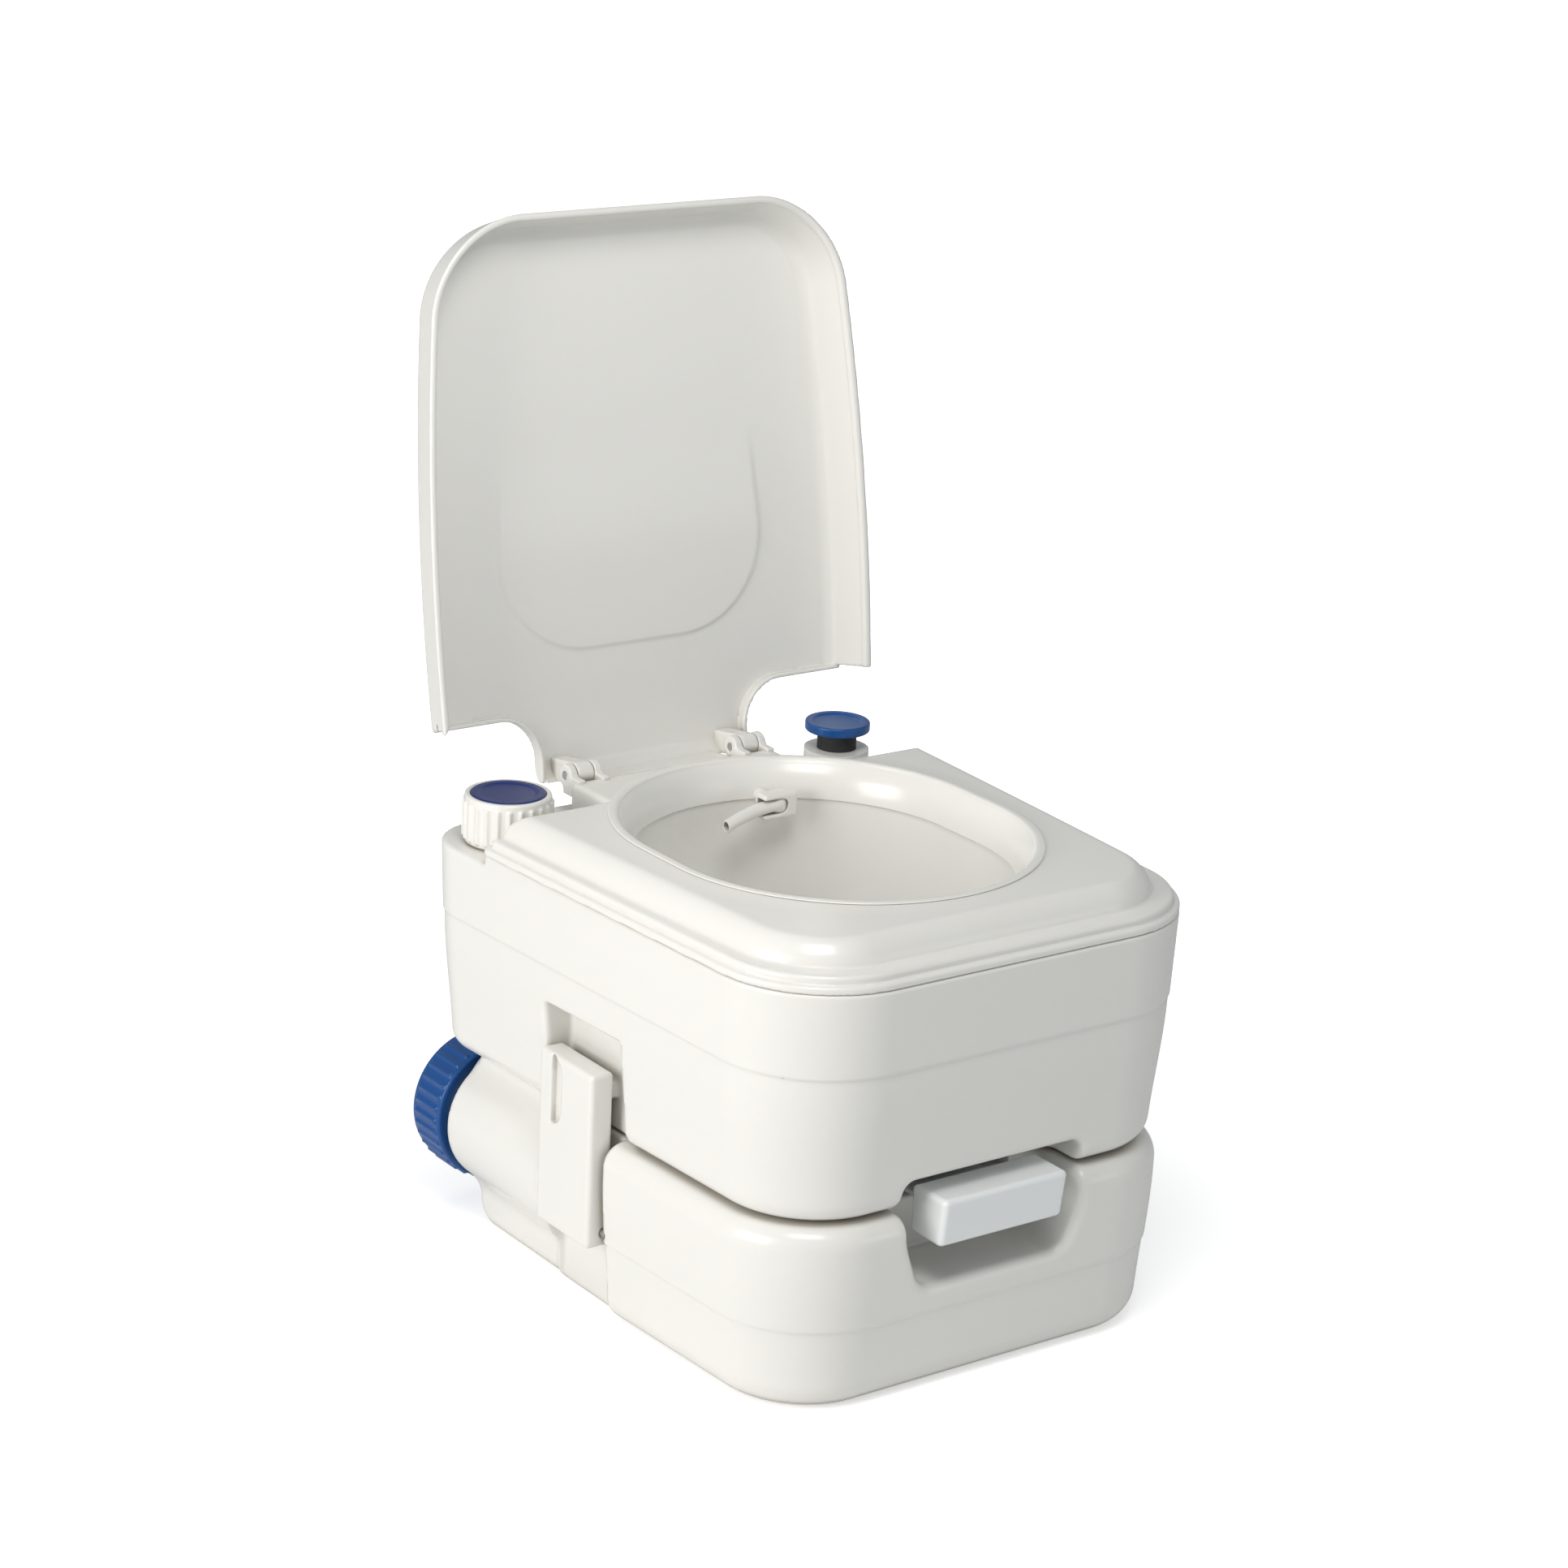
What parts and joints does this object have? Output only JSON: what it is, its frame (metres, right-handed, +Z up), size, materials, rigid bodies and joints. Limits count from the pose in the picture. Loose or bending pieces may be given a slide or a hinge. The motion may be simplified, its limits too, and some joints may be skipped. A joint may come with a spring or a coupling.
{
  "type": "portable camp toilet",
  "caption": "Portable two-tank flush toilet with seat, bowl and fold-up lid on a flush tank that lifts off a waste tank with side latches, slide valve and pour-out spout.",
  "frame": {"origin": "on the floor, under the middle of the flush tank", "axes": "+Z up, front (slide-valve handle) at -Y, rear with the lid hinge at +Y, +X to the right seen from the front"},
  "size_m": [0.3796, 0.4866, 0.6848],
  "materials": {
    "ivory_plastic": "satin-gloss moulded polyethylene, warm ivory white",
    "cool_plastic": "satin-gloss moulded plastic, cooler bluish white",
    "blue_plastic": "glossy royal-blue moulded plastic",
    "black_rubber": "matt black rubber",
    "steel": "plain stainless steel",
    "hose_plastic": "milky flexible hose"
  },
  "bodies": {
    "waste_unit": {"waste_tank": "ivory_plastic", "latch_pins": "steel", "valve_frame": "cool_plastic", "valve_screws": "steel", "outlet_seal": "black_rubber"},
    "flush_unit": {"flush_tank": "ivory_plastic", "seat_deck": "ivory_plastic", "bowl": "ivory_plastic", "hinge_pins": "steel", "pump_barrel": "cool_plastic", "pump_collar": "ivory_plastic", "pump_spring": "steel", "inlet_valve": "black_rubber", "flush_hose": "hose_plastic", "nozzle_bracket": "ivory_plastic", "flush_nozzle": "ivory_plastic"},
    "lid_body": {"lid": "ivory_plastic"},
    "filler_cap_body": {"filler_cap": "ivory_plastic", "filler_cap_insert": "blue_plastic", "filler_gasket": "black_rubber"},
    "pump_plunger": {"pump_knob": "blue_plastic", "pump_stem": "black_rubber", "pump_piston": "black_rubber"},
    "valve_slider": {"valve_blade": "cool_plastic", "valve_handle": "cool_plastic"},
    "left_latch_body": {"left_latch": "ivory_plastic"},
    "right_latch_body": {"right_latch": "ivory_plastic"},
    "spout_cap_body": {"spout_cap": "blue_plastic", "spout_gasket": "black_rubber"}
  },
  "joints": [
    {"name": "lift_off", "type": "slide", "parent": "waste_unit", "child": "flush_unit", "axis": [0, 0, 1], "range_m": [0, 0.12]},
    {"name": "lid_hinge", "type": "hinge", "parent": "flush_unit", "child": "lid_body", "pos_m": [0, 0.19, 0.305], "axis": [1, 0, 0], "range_deg": [0, 98.5]},
    {"name": "filler_cap_turn", "type": "hinge", "parent": "flush_unit", "child": "filler_cap_body", "pos_m": [-0.146, 0.16, 0.285], "axis": [0, 0, 1], "range_deg": [0, 270]},
    {"name": "pump_press", "type": "slide", "parent": "flush_unit", "child": "pump_plunger", "axis": [0, 0, -1], "range_m": [0, 0.012], "stiffness_N_per_m": 400, "deforming": ["pump_spring"]},
    {"name": "valve_slide", "type": "slide", "parent": "waste_unit", "child": "valve_slider", "axis": [0, -1, 0], "range_m": [0, 0.095]},
    {"name": "left_latch_hinge", "type": "hinge", "parent": "waste_unit", "child": "left_latch_body", "pos_m": [-0.17, 0.024, 0.062], "axis": [0, -1, 0], "range_deg": [0, 35]},
    {"name": "right_latch_hinge", "type": "hinge", "parent": "waste_unit", "child": "right_latch_body", "pos_m": [0.17, 0.024, 0.062], "axis": [0, 1, 0], "range_deg": [0, 35]},
    {"name": "spout_cap_turn", "type": "hinge", "parent": "waste_unit", "child": "spout_cap_body", "pos_m": [-0.132, 0.197, 0.07], "axis": [0, 1, 0], "range_deg": [0, 270]}
  ]
}
